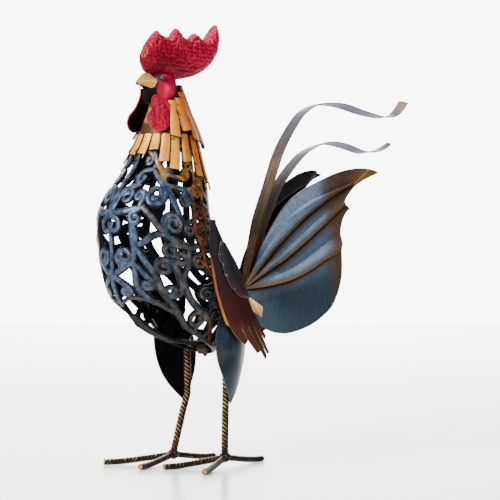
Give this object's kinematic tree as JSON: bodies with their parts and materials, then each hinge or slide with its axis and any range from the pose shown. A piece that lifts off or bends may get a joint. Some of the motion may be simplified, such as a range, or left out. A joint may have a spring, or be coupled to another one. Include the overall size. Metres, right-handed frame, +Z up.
{
  "type": "rooster ornament",
  "caption": "Standing metal rooster: hollow openwork scroll body, strip neck feathers, hammered comb, sheet wings, fan tail with long arched plumes, bar legs and toes.",
  "frame": {"origin": "middle of the underside of the whole bird's bounding box, on the floor", "axes": "+Z up, the bird faces -Y, its left side is +X"},
  "size_m": [0.135, 0.4468, 0.453],
  "materials": {
    "scroll_iron": "blue-steel paint brushed over black",
    "neck_gold": "gold to orange to maroon, brushed",
    "comb_red": "crimson metallic, hammered",
    "beak_gold": "pale gold",
    "saddle_gold": "pale gold",
    "eye_black": "gloss black",
    "wing_brown": "black to maroon, copper edges",
    "cover_grey": "dark grey",
    "tail_blue": "blue-silver with brown creases",
    "ribbon_grey": "brushed grey-brown",
    "rump_brown": "brown",
    "thigh_slate": "dark slate with a blue sheen",
    "leg_bronze": "black with gold brushed ribs",
    "strap_black": "black"
  },
  "bodies": {
    "root": {"scroll_cage": "scroll_iron", "neck_sleeve": "neck_gold", "hackles_lower": "neck_gold", "hackles_upper": "neck_gold", "head": "comb_red", "comb": "comb_red", "wattle_left": "comb_red", "wattle_right": "comb_red", "beak": "beak_gold", "saddle_feather_left": "saddle_gold", "saddle_feather_right": "saddle_gold", "eye_left": "eye_black", "eye_right": "eye_black", "wing_left": "wing_brown", "wing_right": "wing_brown", "wing_cover_left": "cover_grey", "wing_cover_right": "cover_grey", "tail_fan_left": "tail_blue", "tail_fan_right": "tail_blue", "tail_ribbon_long": "ribbon_grey", "tail_ribbon_short": "ribbon_grey", "tail_boss": "rump_brown", "thigh_left": "thigh_slate", "thigh_right": "thigh_slate", "leg_left": "leg_bronze", "leg_right": "leg_bronze", "foot_left": "leg_bronze", "foot_right": "leg_bronze", "hip_strap": "strap_black"}
  },
  "joints": []
}
